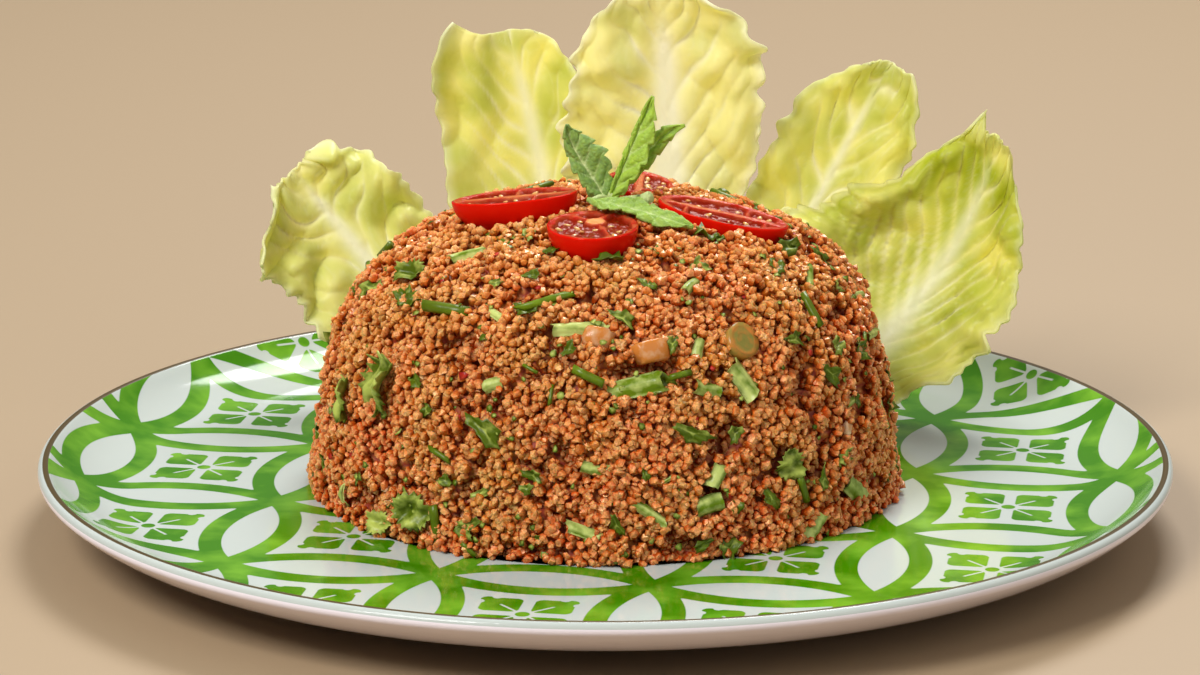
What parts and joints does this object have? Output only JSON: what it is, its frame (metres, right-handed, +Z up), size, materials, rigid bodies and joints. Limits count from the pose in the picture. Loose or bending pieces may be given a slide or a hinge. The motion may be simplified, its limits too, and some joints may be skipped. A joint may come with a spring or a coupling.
{
  "type": "moulded bulgur salad on a plate",
  "caption": "Bulgur salad turned out of a round mould onto a patterned dinner plate, topped with halved cherry tomatoes and mint, romaine leaves standing behind it.",
  "frame": {"origin": "middle of the plate's foot ring, on the table, which is also the bottom centre of the bounding box", "axes": "+Z up along the plate's axis; -Y is the front that the picture shows, and +X is its right"},
  "size_m": [0.272, 0.272, 0.1169],
  "materials": {
    "glazed_porcelain": "clear gloss glaze over white porcelain with a green tile pattern and a thin gold-brown line at the rim",
    "bulgur_with_herbs": "oily orange-brown grains pressed together, with dark gaps and green herbs; stands for food",
    "romaine_leaf": "thin waxy yellow-green leaf with a pale rib; stands for food",
    "cherry_tomato": "glossy red skin, wet cut face; stands for food",
    "mint_leaf": "soft grey-green leaf; stands for food"
  },
  "bodies": {
    "root": {"plate": "glazed_porcelain", "bulgur_salad": "bulgur_with_herbs", "romaine_leaf_far_left": "romaine_leaf", "romaine_leaf_left": "romaine_leaf", "romaine_leaf_middle": "romaine_leaf", "romaine_leaf_right": "romaine_leaf", "romaine_leaf_far_right": "romaine_leaf", "tomato_half_left": "cherry_tomato", "tomato_half_front": "cherry_tomato", "tomato_half_back": "cherry_tomato", "tomato_half_right": "cherry_tomato", "mint_sprig": "mint_leaf"}
  },
  "joints": []
}
